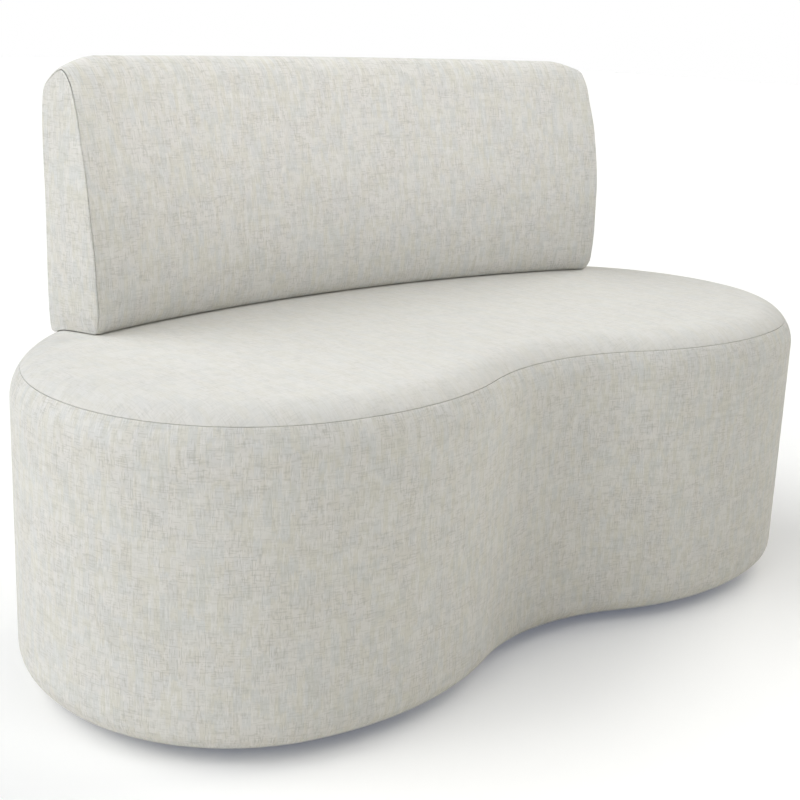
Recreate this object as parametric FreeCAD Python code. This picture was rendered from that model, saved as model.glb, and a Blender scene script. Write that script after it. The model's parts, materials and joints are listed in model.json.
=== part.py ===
# A curved loveseat. A bean-shaped upholstered base stands on six low levelling glides, and carries a curved
# upholstered back on three uprights. Millimetres, +Z up, the front faces -Y, the floor is at Z = 0.
import FreeCAD, Part
import math
import os

os.makedirs("parts", exist_ok=True)
Vector = FreeCAD.Vector
UP = Vector(0, 0, 1)
GAP = 0.4                       # clear space left between neighbouring layers

# Outline of the base: radii of its tangent arcs, and the tangent angles where they meet, in degrees
bay_radius = 332.0              # the concave bay in the middle of the front
bay_turn = 24.5                 # half the turn of the bay
lobe_radii = (465.0, 271.0, 334.0)
lobe_angles = (-bay_turn, 15.5, 80.0, 142.0)

# Heights and roundings of the upholstered base
cover_bottom = 16.0             # underside of the side cover above the floor
rim_height = 438.0              # top of the edge rounding
top_round = 60.0
bottom_round = 36.0
seam_angle = 39.0               # where the top panel is sewn to the side band, up the edge rounding
seat_crown = 4.0                # rise of the seat from the rim to its middle
crown_inset = 230.0             # the crown levels out this far in
fabric = 2.0
hem_inset = 75.0                # the side cover is turned under the base as far as this

# Frame of the base
ply = 18.0
plate_inset = 32.0
screw_length = 45.0
skin_thickness = 6.0            # bending plywood round the frame
plate_bottom = 18.4
deck_bottom = 300.4
foam_bottom = 322.6
wadding = 6.0
rib_x = 385.0                   # the two side ribs stand here, the middle rib on the centre line
post_size = 38.0
post_room = 2.5                 # clears the post's corners from the curved skin
post_stations = ((1, 0.0), (2, 40.0), (2, 70.0), (3, 100.0), (3, 125.0), (4, 146.0), (4, 166.0))
deck_front = -200.0             # the straps are stretched over the seat between these lines
deck_rear = 110.0
deck_side = 335.0
deck_middle = 45.0
webbing_width = 50.0
webbing_thickness = 1.5
webbing_hold = 38.0             # the straps run on over the boards by this much
cross_straps_x = (80.0, 148.0, 216.0, 284.0)
long_straps_y = (-155.0, -85.0, -15.0, 55.0)
staple_inset = 62.0
staple_spacing = 95.0
staple_half = 4.6               # from the middle of a staple to each leg
skin_split = 60.0               # the bending plywood is joined along this line
nut_flange = 11.0               # radius of a tee nut's flange
nut_barrel = 5.0

# The back: its front foot lies on one arc, its rear face on another
foot_radius = 2058.0
foot_centre_y = -1919.0
half_angle = 13.84              # degrees from the middle to each end panel
end_thickness = 92.0
middle_thickness = 124.0
back_foot = 442.8               # underside of the back, just clear of the seat
back_height = 350.2             # from that underside to the top
end_droop = 15.4                # the top falls this much at the end panels
droop_start = 0.874             # share of the half angle at which the top begins to fall
end_bulge = 8.4                 # the front swells this far over the foot arc at the ends
middle_bulge = 12.0             # and this far in the middle
seat_room = 0.8                 # the back's underside follows the seat at this distance
hem = 16.0                      # the covers are turned under the back by this much
panel = 4.0                     # bending plywood of the back
frame_foot = 4.0                # bottom and top of the back's frame above its underside
frame_top = 266.0
top_rail = 20.0
bottom_rail = 24.0
end_pad = 8.0                   # foam on the ends of the back
rear_pad = 11.0
rib_angle = 5.2                 # the back's inner ribs stand this many degrees from the middle

# Uprights that carry the back, bolted to the ribs of the base
upright_width = 30.0
upright_depth = 26.0
upright_bottom = 110.0
bolt_heights = (150.0, 260.0)
bolt_radius = 4.0

# Levelling glides
glide_places = ((300, -272), (545, -20), (210, 240), (-210, 240), (-545, -20), (-300, -272))
pad_radius = 18.0
pad_height = 10.0
stem_radius = 3.95
stem_top = 50.0
nut_bore = 4.0

SEAM = 10                       # the corner of the back's section where its two covers meet
pieces = {}


def save(name, shape):
    """Keeps a piece under its name after checking that it is made of sound solids."""
    solids = shape.Solids
    if not solids or not shape.isValid():
        raise ValueError("bad shape: " + name)
    if any(solid.Volume <= 0 for solid in solids):
        raise ValueError("inside out: " + name)
    pieces[name] = solids[0] if len(solids) == 1 else Part.makeCompound(solids)


def box(x0, x1, y0, y1, z0, z1):
    return Part.makeBox(x1 - x0, y1 - y0, z1 - z0, Vector(x0, y0, z0))


def rod(x, y, z0, z1, radius):
    return Part.makeCylinder(radius, z1 - z0, Vector(x, y, z0), UP)


def normal(angle):
    """Outward direction in plan where the outline's tangent has this angle in degrees."""
    turn = math.radians(angle)
    return math.sin(turn), -math.cos(turn)


# Outline of the base
def outline_arcs():
    """Arcs anticlockwise from the bay: centre, radius (negative in the bay) and two tangent angles."""
    x, y = 0.0, 0.0
    right = []
    legs = [(-bay_radius, 0.0, lobe_angles[0])]
    legs += list(zip(lobe_radii, lobe_angles[:-1], lobe_angles[1:]))
    for radius, start, end in legs:
        nx, ny = normal(start)
        cx, cy = x - radius * nx, y - radius * ny
        nx, ny = normal(end)
        x, y = cx + radius * nx, cy + radius * ny
        right.append((cx, cy, radius, start, end))
    last = lobe_angles[-1]
    rear_radius = x / math.sin(math.radians(last))
    rear_y = y - rear_radius * normal(last)[1]
    middle = (right[1][1] - lobe_radii[0] + rear_y + rear_radius) / 2
    arcs = [(0.0, right[0][1] - middle, -bay_radius, bay_turn, -bay_turn)]
    arcs += [(cx, cy - middle, radius, start, end) for cx, cy, radius, start, end in right[1:]]
    arcs.append((0.0, rear_y - middle, rear_radius, last, 360.0 - last))
    arcs += [(-cx, cy - middle, radius, 360.0 - end, 360.0 - start)
             for cx, cy, radius, start, end in reversed(right[1:])]
    return arcs


ARCS = outline_arcs()


def on_arc(arc, inset, angle, z):
    cx, cy, radius = arc[:3]
    nx, ny = normal(angle)
    return Vector(cx + (radius - inset) * nx, cy + (radius - inset) * ny, z)


def outline_face(inset, z):
    """The flat face inside the outline, drawn in by inset."""
    edges = []
    for arc in ARCS:
        start, end = arc[3:]
        corners = [on_arc(arc, inset, angle, z) for angle in (start, (start + end) / 2, end)]
        edges.append(Part.Arc(*corners).toShape())
    return Part.Face(Part.Wire(edges))


def plate(inset, z0, z1):
    return outline_face(inset, z0).extrude(UP * (z1 - z0))


def front_and_rear(x, inset):
    """The lowest and highest Y of the drawn-in outline at this X."""
    found = []
    for arc in ARCS:
        cx, cy, radius, start, end = arc
        reach = abs(radius - inset)
        if abs(x - cx) > reach:
            continue
        for sign in (-1, 1):
            dy = sign * math.sqrt(reach ** 2 - (x - cx) ** 2)
            side = 1 if radius > 0 else -1
            angle = math.degrees(math.atan2(side * (x - cx), -side * dy))
            low, high = min(start, end), max(start, end)
            if any(low <= angle + turn <= high for turn in (0, 360)):
                found.append(cy + dy)
    return min(found), max(found)


def swept(path, caps):
    """A solid swept round the outline by a path of (inset, height) lines and arcs, closed by flat caps."""
    faces = []
    for arc in ARCS:
        cx, cy, radius, start, end = arc
        for points in path:
            corners = [on_arc(arc, inset, start, z) for inset, z in points]
            curve = Part.LineSegment(*corners) if len(corners) == 2 else Part.Arc(*corners)
            faces.append(curve.toShape().revolve(Vector(cx, cy, 0), UP, end - start))
    faces += [outline_face(inset, z) for inset, z in caps]
    shell = Part.makeShell(faces)
    shell.sewShape()
    solid = Part.makeSolid(shell)
    if solid.Volume < 0:
        solid.reverse()
    return solid


def round_point(depth, angle):
    """A point (inset, height) on the top edge rounding, depth under the surface, angle up from the wall."""
    radius = top_round - depth
    turn = math.radians(angle)
    return top_round - radius * math.cos(turn), rim_height - top_round + radius * math.sin(turn)


def top_path(depth, lowest):
    """From the middle of the seat out over the crown and down the edge rounding to the angle lowest."""
    middle = (crown_inset, rim_height + seat_crown - depth)
    edge = (top_round, rim_height - depth)
    span = crown_inset - top_round
    radius = (span ** 2 + seat_crown ** 2) / (2 * seat_crown)
    halfway = (crown_inset - span / 2, middle[1] - radius + math.sqrt(radius ** 2 - span ** 2 / 4))
    bend = (edge, round_point(depth, (90 + lowest) / 2), round_point(depth, lowest))
    return [(middle, halfway, edge), bend]


def backwards(path):
    return [tuple(reversed(points)) for points in reversed(path)]


def rounding_angle(depth, inset):
    """The angle up the edge rounding at which a surface at this depth reaches this inset."""
    return math.degrees(math.acos((top_round - inset) / (top_round - depth)))


# Uprights, and what makes room for them
def upright_places():
    """Low corner of each upright in plan."""
    inner = rib_x - ply / 2 - GAP - upright_width
    side_y, middle_y = 162.0, 200.0
    return {"left": (-inner - upright_width, side_y),
            "middle": (ply / 2 + GAP, middle_y),
            "right": (inner, side_y)}


def upright_box(name, z0, z1, room=0.0):
    x, y = upright_places()[name]
    return box(x - room, x + upright_width + room, y - room, y + upright_depth + room, z0, z1)


def slotted(shape, z0, z1, room=1.0):
    """Cuts the three upright slots through a layer."""
    for name in upright_places():
        shape = shape.cut(upright_box(name, z0, z1, room))
    return shape


# Covers and padding of the base
def make_base_covers():
    seam_top, seam_side = seam_angle + 0.4, seam_angle
    outer = top_path(0.0, seam_top)
    inner = top_path(fabric, seam_top)
    path = outer + [(outer[-1][-1], inner[-1][-1])] + backwards(inner)
    top = swept(path, [outer[0][0], inner[0][0]])
    save("seat_top_cover", slotted(top, rim_height - 30, rim_height + 30))

    def side(depth):
        low = cover_bottom + bottom_round
        turned = math.sqrt(0.5) * (bottom_round - depth)
        corner = (bottom_round - turned, low - turned)
        wall_foot, wall_head = (depth, low), (depth, rim_height - top_round)
        under = (bottom_round, cover_bottom + depth)
        return [((hem_inset, cover_bottom + depth), under),
                (under, corner, wall_foot),
                (wall_foot, wall_head),
                (wall_head, round_point(depth, seam_side / 2), round_point(depth, seam_side))]

    outer, inner = side(0.0), side(fabric)
    joints = [(outer[-1][-1], inner[-1][-1]), (inner[0][0], outer[0][0])]
    band = swept(outer + joints[:1] + backwards(inner) + joints[1:], [])
    save("side_band_cover", cut_all(band, staple_holes()))


def make_padding():
    depth = fabric + GAP
    foam_edge = plate_inset - GAP - skin_thickness - GAP
    low = cover_bottom + bottom_round
    radius = bottom_round - depth
    foot_z = low - math.sqrt(radius ** 2 - (bottom_round - foam_edge) ** 2)
    turn = (math.acos((bottom_round - foam_edge) / radius)) / 2
    belly = (bottom_round - radius * math.cos(turn), low - radius * math.sin(turn))
    head_angle = rounding_angle(depth, foam_edge)
    head = round_point(depth, head_angle)
    wall_foot, wall_head = (depth, low), (depth, rim_height - top_round)
    path = [((foam_edge, foot_z), belly, wall_foot), (wall_foot, wall_head),
            (wall_head, round_point(depth, head_angle / 2), head), (head, (foam_edge, foot_z))]
    save("side_foam", swept(path, []))

    block_inset = foam_edge + GAP
    lower = depth + wadding
    outer = top_path(depth, rounding_angle(depth, block_inset))
    inner = top_path(lower, rounding_angle(lower, block_inset))
    path = outer + [(outer[-1][-1], inner[-1][-1])] + backwards(inner)
    layer = swept(path, [outer[0][0], inner[0][0]])
    save("seat_wadding", slotted(layer, rim_height - 60, rim_height + 30))

    lower += GAP
    outer = top_path(lower, rounding_angle(lower, block_inset))
    foot = (block_inset, foam_bottom)
    block = swept(outer + [(outer[-1][-1], foot)], [outer[0][0], foot])
    save("seat_foam", slotted(block, foam_bottom - 10, rim_height + 30))


# Frame of the base
def cut_all(shape, tools):
    return shape.cut(Part.makeCompound(tools))


def post_places():
    """Centre and turn of each post, set against the inside of the bending plywood."""
    places = []
    for number, angle in post_stations:
        centre = on_arc(ARCS[number], plate_inset + post_room + post_size / 2, angle, 0)
        places += [(centre.x, centre.y, angle), (-centre.x, centre.y, -angle)]
    return places


def screw(start, direction, length):
    """A countersunk wood screw with its flat head at the start."""
    profile = [(0, 0), (4.0, 0), (2.0, 3.0), (2.0, length - 4.0), (0, length)]
    corners = [Vector(r, 0, z) for r, z in profile]
    solid = Part.Face(Part.makePolygon(corners + corners[:1])).revolve(Vector(0, 0, 0), UP, 360)
    if solid.Volume < 0:
        solid.reverse()
    solid.Placement = FreeCAD.Placement(start, FreeCAD.Rotation(UP, direction))
    return solid


def screw_hole(start, direction, length):
    shank = Part.makeCylinder(2.1, length + 1.0, start, direction)
    return shank.fuse(Part.makeCone(4.2, 2.1, 3.1, start, direction))


def frame_screws():
    """Start and direction of the screws through the base plate, then of those through the seat deck."""
    places = [(x, y) for x, y, _ in post_places()]
    for x in (-rib_x, 0.0, rib_x):
        front, rear = front_and_rear(x, plate_inset + 36)
        places += [(x, front + (rear - front) * share) for share in (0.0, 0.3, 0.62, 0.97)]
    low = [(Vector(x, y, plate_bottom), UP, screw_length) for x, y in places]
    return low, [(Vector(x, y, deck_bottom + ply), -UP, screw_length) for x, y in places]


def staple_places():
    """Points and tangent angles evenly spaced round the turned-under hem."""
    places = []
    for arc in ARCS:
        start, end = arc[3:]
        count = max(1, round(math.radians(abs(end - start)) * abs(arc[2] - staple_inset) / staple_spacing))
        for step in range(count):
            angle = start + (end - start) * (step + 0.5) / count
            places.append((on_arc(arc, staple_inset, angle, 0), angle))
    return places


def staple_legs(width, z0, z1):
    """Two square legs at every staple."""
    legs = []
    for point, angle in staple_places():
        for side in (-staple_half, staple_half):
            leg = box(side - width / 2, side + width / 2, -width / 2, width / 2, z0, z1)
            leg.rotate(Vector(0, 0, 0), UP, angle)
            leg.translate(point)
            legs.append(leg)
    return legs


def staple_holes():
    return staple_legs(1.2, 0, plate_bottom + 7.0)


def make_staples():
    crown_top = cover_bottom - 1.5
    wire = 0.8
    reach = staple_half + wire / 2
    legs = staple_legs(wire, crown_top - 0.5, plate_bottom + 6.0)
    staples = []
    for number, (point, angle) in enumerate(staple_places()):
        crown = box(-reach, reach, -wire / 2, wire / 2, crown_top - 0.7, crown_top)
        crown.rotate(Vector(0, 0, 0), UP, angle)
        crown.translate(point)
        staples.append(crown.fuse(legs[2 * number:2 * number + 2]).removeSplitter())
    save("hem_staples", Part.makeCompound(staples))


def make_base_frame():
    plate_top = plate_bottom + ply
    low_screws, high_screws = frame_screws()
    low_holes = [screw_hole(*each) for each in low_screws]
    high_holes = [screw_hole(*each) for each in high_screws]
    nut_holes = [rod(x, y, plate_bottom - 1, plate_top + 1, nut_barrel + 0.2) for x, y in glide_places]
    bottom = plate(plate_inset, plate_bottom, plate_top)
    save("base_plate", cut_all(bottom, low_holes + nut_holes + staple_holes()))

    deck_top = deck_bottom + ply
    deck = slotted(plate(plate_inset, deck_bottom, deck_top), deck_bottom - 1, deck_top + 1)
    deck = cut_all(deck, high_holes)
    front, rear = deck_front + GAP, deck_rear - GAP
    save("deck_front_board", deck.common(box(-800, 800, -500, deck_front, 300, 400)))
    save("deck_rear_board", deck.common(box(-800, 800, deck_rear, 500, 300, 400)))
    save("deck_left_board", deck.common(box(-800, -deck_side, front, rear, 300, 400)))
    save("deck_middle_board", deck.common(box(-deck_middle, deck_middle, front, rear, 300, 400)))
    save("deck_right_board", deck.common(box(deck_side, 800, front, rear, 300, 400)))

    floor, ceiling = plate_top + GAP, deck_bottom - GAP
    inside = plate(plate_inset + GAP, floor, ceiling)
    holes = low_holes + high_holes
    for name, x in (("left", -rib_x), ("middle", 0.0), ("right", rib_x)):
        rib = box(x - ply / 2, x + ply / 2, -500, 500, floor, ceiling).common(inside)
        y = upright_places()[name][1] + upright_depth / 2
        bolts = [Part.makeCylinder(bolt_radius + 0.3, 40, Vector(x - 20, y, z), Vector(1, 0, 0))
                 for z in bolt_heights]
        save("base_rib_" + name, cut_all(rib, holes + bolts))

    posts = []
    half = post_size / 2
    for x, y, turn in post_places():
        post = Part.makeBox(post_size, post_size, ceiling - floor, Vector(-half, -half, floor))
        post.rotate(Vector(0, 0, 0), UP, turn)
        post.translate(Vector(x, y, 0))
        posts.append(cut_all(post, holes))
    save("wall_posts", Part.makeCompound(posts))

    outer = plate_inset - GAP - skin_thickness
    wall = plate(outer, plate_bottom + 2, deck_top)
    wall = wall.cut(plate(outer + skin_thickness, plate_bottom, deck_top + 2))
    save("wall_skin_front", wall.common(box(-800, 800, -500, skin_split - 0.3, 0, 500)))
    save("wall_skin_rear", wall.common(box(-800, 800, skin_split + 0.3, 500, 0, 500)))
    save("base_screws", Part.makeCompound([screw(*each) for each in low_screws]))
    save("deck_screws", Part.makeCompound([screw(*each) for each in high_screws]))


def make_webbing():
    half = webbing_width / 2
    floor = deck_bottom + ply + GAP
    level = floor + webbing_thickness + GAP
    reach = deck_side + webbing_hold
    long_straps = [box(-reach, reach, y - half, y + half, floor, floor + webbing_thickness)
                   for y in long_straps_y]
    save("webbing_lengthwise", Part.makeCompound(long_straps))
    cross_straps = [box(side * x - half, side * x + half, deck_front - webbing_hold, deck_rear + webbing_hold,
                        level, level + webbing_thickness)
                    for x in cross_straps_x for side in (-1, 1)]
    save("webbing_crosswise", Part.makeCompound(cross_straps))


def make_dust_cover():
    cloth = plate(hem_inset - 22, cover_bottom - 1.4, cover_bottom - GAP)
    holes = [rod(x, y, 0, 30, 13.0) for x, y in glide_places]
    save("dust_cover", cut_all(cloth, holes + staple_holes()))


def hexagon_face(centre, across, along):
    """A hexagon with corners 7.5 mm from its centre, in the plane of two directions."""
    turns = [math.radians(60 * k) for k in range(6)]
    corners = [centre + across * (7.5 * math.cos(turn)) + along * (7.5 * math.sin(turn)) for turn in turns]
    return Part.Face(Part.makePolygon(corners + corners[:1]))


# Levelling glides: a pad that only rises and falls, a stem that turns in the pad and in a tee nut
def make_glides():
    names = ("front_right", "side_right", "rear_right", "rear_left", "side_left", "front_left")
    nuts = []
    plate_top = plate_bottom + ply
    socket_floor, socket_roof, foot = 3.6, 8.4, 6.0
    for name, (x, y) in zip(names, glide_places):
        pad = rod(x, y, 0, pad_height, pad_radius)
        rims = [e for e in pad.Edges if e.isClosed() and e.Length > 2 * pad_radius]
        pad = pad.makeChamfer(1.5, rims)
        pad = pad.cut(rod(x, y, socket_floor, socket_roof, foot + 0.3))
        pad = pad.cut(rod(x, y, socket_roof - 1, pad_height + 1, stem_radius + 0.35))
        save("glide_pad_" + name, pad)
        stem = rod(x, y, socket_floor + 0.3, socket_roof - 0.3, foot)
        stem = stem.fuse(rod(x, y, socket_floor + 1, stem_top, stem_radius))
        centre = Vector(x, y, pad_height + 0.6)
        hexagon = hexagon_face(centre, Vector(1, 0, 0), Vector(0, 1, 0)).extrude(UP * 7.2)
        save("glide_stem_" + name, stem.fuse(hexagon).removeSplitter())
        flange = rod(x, y, plate_top + 0.1, plate_top + 1.7, nut_flange)
        nut = flange.fuse(rod(x, y, plate_bottom + 4, plate_top + 1, nut_barrel))
        nuts.append(nut.cut(rod(x, y, 0, stem_top + 10, nut_bore)).removeSplitter())
    save("glide_tee_nuts", Part.makeCompound(nuts))


# The back: sections in planes through the axis of the foot arc
def rear_circle():
    """Centre Y and radius of the arc of the rear face, through its middle and its two ends."""
    reach = foot_radius + end_thickness
    turn = math.radians(half_angle)
    x, y = reach * math.sin(turn), foot_centre_y + reach * math.cos(turn)
    middle = foot_centre_y + foot_radius + middle_thickness
    rise = middle - y
    radius = (x ** 2 + rise ** 2) / (2 * rise)
    return middle - radius, radius


REAR_Y, REAR_RADIUS = rear_circle()


def thickness(angle):
    """Depth of the back, from the foot arc to the rear arc, at this angle from the middle."""
    turn = math.radians(angle)
    shift = foot_centre_y - REAR_Y
    reach = -shift * math.cos(turn) + math.sqrt(REAR_RADIUS ** 2 - (shift * math.sin(turn)) ** 2)
    return reach - foot_radius


def back_point(depth, z, angle):
    """The point this far behind the foot arc, at height z above the back's underside."""
    turn = math.radians(angle)
    reach = foot_radius + depth
    return Vector(reach * math.sin(turn), foot_centre_y + reach * math.cos(turn), back_foot + z)


def seat_inset(x, y):
    """How far inside the outline a point of the rear half lies."""
    for cx, cy, radius, start, end in ARCS[2:-1]:
        angle = math.degrees(math.atan2(x - cx, cy - y)) % 360
        if start <= angle <= end:
            return radius - math.hypot(x - cx, y - cy)
    raise ValueError("no arc faces this point")


def settled(depth, angle):
    """Height of the seat under this point of the back, with its room, from the back's underside."""
    point = back_point(depth, 0, angle)
    inset = seat_inset(point.x, point.y)
    if inset < top_round:
        height = rim_height - top_round + math.sqrt(top_round ** 2 - (top_round - inset) ** 2)
    else:
        span = crown_inset - top_round
        radius = (span ** 2 + seat_crown ** 2) / (2 * seat_crown)
        reach = max(crown_inset - inset, 0.0)
        height = rim_height + seat_crown - radius + math.sqrt(radius ** 2 - reach ** 2)
    return height + seat_room - back_foot


def back_corners(angle):
    """The section's corners and arc midpoints, from the front foot up and over to the rear foot."""
    share = abs(angle) / half_angle
    near_end = max(0.0, (share - droop_start) / (1 - droop_start))
    top = back_height - end_droop * near_end ** 1.5
    stretch = top / back_height
    swell = (middle_bulge - end_bulge) * (1 - share ** 6)
    crest = 62.0 - 5.2 * near_end ** 2
    rear = thickness(angle)
    low = settled(rear - 11.0, angle)
    return [(6.0, settled(6.0, angle)), (0.5, 2.0 + 0.8 * settled(6.0, angle)), (-7.2, 16.0),
            (-end_bulge - swell, 72.0), (-0.8 - 0.6 * swell, 165.0),
            (12.0, 235.0), (27.0, 300.0 * stretch),
            (39.0, 332.0 * stretch), (crest, top),
            (crest + 0.707 * (rear - crest), top - 11.0 - 3.7 * near_end ** 2),
            (rear, top - 38.0 + 11.2 * near_end ** 2),
            (rear + 2.0, 150.0), (rear, 12.0 + 0.5 * low),
            (rear - 3.0, 3.0 + 0.85 * low), (rear - 11.0, low)]


def drawn_in(corners, depth):
    """The corners of a whole section moved inwards by depth, square to its outline."""
    moved = []
    count = len(corners)
    for index, (a, z) in enumerate(corners):
        before = corners[index - 1] if index else (a + 10.0, z)
        after = corners[index + 1] if index < count - 1 else (a - 10.0, z)
        da, dz = after[0] - before[0], after[1] - before[1]
        size = math.hypot(da, dz)
        moved.append((a + depth * dz / size, z - depth * da / size))
    return moved


def section_wire(edges, angle):
    shapes = []
    for points in edges:
        corners = [back_point(depth, z, angle) for depth, z in points]
        curve = Part.LineSegment(*corners) if len(corners) == 2 else Part.Arc(*corners)
        shapes.append(curve.toShape())
    return Part.Wire(shapes)


def arcs_of(corners):
    """Groups a run of corner, midpoint, corner into arcs."""
    return [tuple(corners[k:k + 3]) for k in range(0, len(corners) - 2, 2)]


def stations(last):
    """Angles from end to end of the back, closer together where its top falls at the ends."""
    shares = (0.3, 0.6, 0.8, droop_start, 0.91, 0.95, 0.98)
    right = [share * half_angle for share in shares if share * half_angle < last - 0.1] + [last]
    return [-angle for angle in reversed(right)] + [0.0] + right


def under(start, finish, angle):
    """Two arcs from a rear foot forward to another point, both as far over the seat as the two points are."""
    first, last = start[1] - settled(start[0], angle), finish[1] - settled(finish[0], angle)
    points = [start]
    for share in (0.25, 0.5, 0.75):
        depth = start[0] + (finish[0] - start[0]) * share
        points.append((depth, settled(depth, angle) + first + (last - first) * share))
    return arcs_of(points + [finish])


def lofted(edges_at, last):
    return Part.makeLoft([section_wire(edges_at(angle), angle) for angle in stations(last)], True, False)


def make_back_covers(last):
    def front(angle):
        corners = back_corners(angle)
        outer = corners[:SEAM + 1]
        inner = drawn_in(corners, fabric)[:SEAM + 1]
        outer_end, inner_end = (outer[0][0] + hem, outer[0][1]), (inner[0][0] + hem, inner[0][1])
        edges = [(outer_end, outer[0])] + arcs_of(outer) + [(outer[-1], inner[-1])]
        return edges + backwards(arcs_of(inner)) + [(inner[0], inner_end), (inner_end, outer_end)]

    def rear(angle):
        corners = back_corners(angle)
        outer = corners[SEAM:]
        inner = drawn_in(corners, fabric)[SEAM:]
        outer[0] = (outer[0][0], outer[0][1] - GAP)
        inner[0] = (inner[0][0], inner[0][1] - GAP)
        edge = outer[-1][0] - hem
        height = settled(edge, angle)
        turned = under(outer[-1], (edge, height), angle)
        turned_in = under(inner[-1], (edge, height + fabric), angle)
        edges = arcs_of(outer) + turned + [(turned[-1][-1], turned_in[-1][-1])]
        return edges + backwards(turned_in) + backwards(arcs_of(inner)) + [(inner[0], outer[0])]

    save("back_front_cover", lofted(front, last))
    save("back_rear_cover", slotted(lofted(rear, last), back_foot - 25, back_foot + 5))
    for name, side in (("left", -1), ("right", 1)):
        corners = back_corners(half_angle)
        edges = arcs_of(corners) + under(corners[-1], corners[0], half_angle)
        face = Part.Face(section_wire(edges, side * half_angle))
        save("back_end_cover_" + name, face.extrude(inwards(side, half_angle) * fabric))


def inwards(side, angle):
    """Direction square to the end of the back, towards its middle."""
    bend = math.radians(angle)
    return Vector(-side * math.cos(bend), math.sin(bend), 0)


def frame_front(z):
    """Depth of the front face of the back's front panel at height z above the underside."""
    return 36.0 + 8.0 * z / frame_top


def rear_turn(inset, angle):
    """Turn about the rear arc's axis that reaches the radial plane at this angle, inset under the face."""
    reach = foot_radius + thickness(angle) - inset
    return math.degrees(math.asin(reach * math.sin(math.radians(angle)) / (REAR_RADIUS - inset)))


def make_back_foam(last, end):
    depth = fabric + GAP

    def front(angle):
        corners = drawn_in(back_corners(angle), depth)[:SEAM + 1]
        foot = (frame_front(0) - GAP, corners[0][1])
        head = (frame_front(frame_top) - GAP, frame_top + GAP)
        rear = (corners[-1][0] - 1.0, frame_top + GAP)
        return [(foot, corners[0])] + arcs_of(corners) + [(corners[-1], rear), (rear, head), (head, foot)]

    save("back_front_foam", lofted(front, end))
    low = frame_foot + 12.0
    outer = REAR_RADIUS - fabric - 3 * GAP
    turn = rear_turn(rear_pad, end) - math.degrees(2 * GAP / REAR_RADIUS)
    save("back_rear_foam", arc_wall(outer - rear_pad, outer, low, frame_top, turn))
    for name, side in (("left", -1), ("right", 1)):
        angle = last - math.degrees(GAP / foot_radius)
        inside = angle - math.degrees(end_pad / foot_radius)
        room = depth + 2 * GAP
        corners = drawn_in(back_corners(half_angle), room)
        for index in (0, -1):
            reach = corners[index][0]
            corners[index] = (reach, settled(reach, inside) + room)
        edges = arcs_of(corners) + under(corners[-1], corners[0], inside)
        face = Part.Face(section_wire(edges, side * angle))
        save("back_end_foam_" + name, face.extrude(inwards(side, angle) * end_pad))


def polar(centre_y, reach, angle, z):
    """A point at this reach and angle from an upright axis on the centre plane, z over the underside."""
    bend = math.radians(angle)
    return Vector(reach * math.sin(bend), centre_y + reach * math.cos(bend), back_foot + z)


def arc_wall(inner, outer, z0, z1, turn):
    """An upright curved wall between two radii of the rear arc, turn degrees each side of the middle."""
    profile = [polar(REAR_Y, inner, turn, z0), polar(REAR_Y, outer, turn, z0),
               polar(REAR_Y, outer, turn, z1), polar(REAR_Y, inner, turn, z1)]
    face = Part.Face(Part.makePolygon(profile + profile[:1]))
    return face.revolve(Vector(0, REAR_Y, 0), UP, 2 * turn)


def frame_behind():
    """Radius of the inside of the rear panel."""
    return REAR_RADIUS - fabric - 4 * GAP - rear_pad - panel


def frame_behind_depth(angle):
    """Depth of the inside of the rear panel behind the foot arc."""
    return thickness(angle) - (REAR_RADIUS - frame_behind())


def rail(z0, z1, turn):
    """A flat curved rail of the back between its two panels."""
    reach = foot_radius + frame_front(z1) + panel + GAP
    behind = frame_behind() - GAP
    front = [polar(foot_centre_y, reach, angle, z0) for angle in (-turn, 0, turn)]
    inset = REAR_RADIUS - behind
    bend = rear_turn(inset, turn)
    rear = [polar(REAR_Y, behind, angle, z0) for angle in (bend, 0, -bend)]
    edges = [Part.Arc(*front).toShape(), Part.LineSegment(front[-1], rear[0]).toShape(),
             Part.Arc(*rear).toShape(), Part.LineSegment(rear[-1], front[0]).toShape()]
    return Part.Face(Part.Wire(edges)).extrude(UP * (z1 - z0))


def back_screws(end):
    """Start, direction and length of the screws of the back's frame."""
    top = back_foot + frame_top
    screws = []
    for x, y in upright_places().values():
        screws.append((Vector(x + upright_width / 2, y + upright_depth / 2, top), -UP, screw_length))
    for side in (-1, 1):
        rib_middle = rib_angle - math.degrees(ply / 2 / foot_radius)
        middle = foot_radius + (frame_front(0) + panel + frame_behind_depth(rib_angle)) / 2
        point = polar(foot_centre_y, middle, side * rib_middle, 0)
        screws.append((Vector(point.x, point.y, top), -UP, screw_length))
        screws.append((Vector(point.x, point.y, back_foot + frame_foot), UP, screw_length))
        for z in (frame_foot + bottom_rail / 2, frame_top - top_rail / 2):
            reach = foot_radius + (frame_front(z) + panel + frame_behind_depth(end)) / 2
            screws.append((polar(foot_centre_y, reach, side * end, z), inwards(side, end), screw_length))
    return screws


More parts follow.
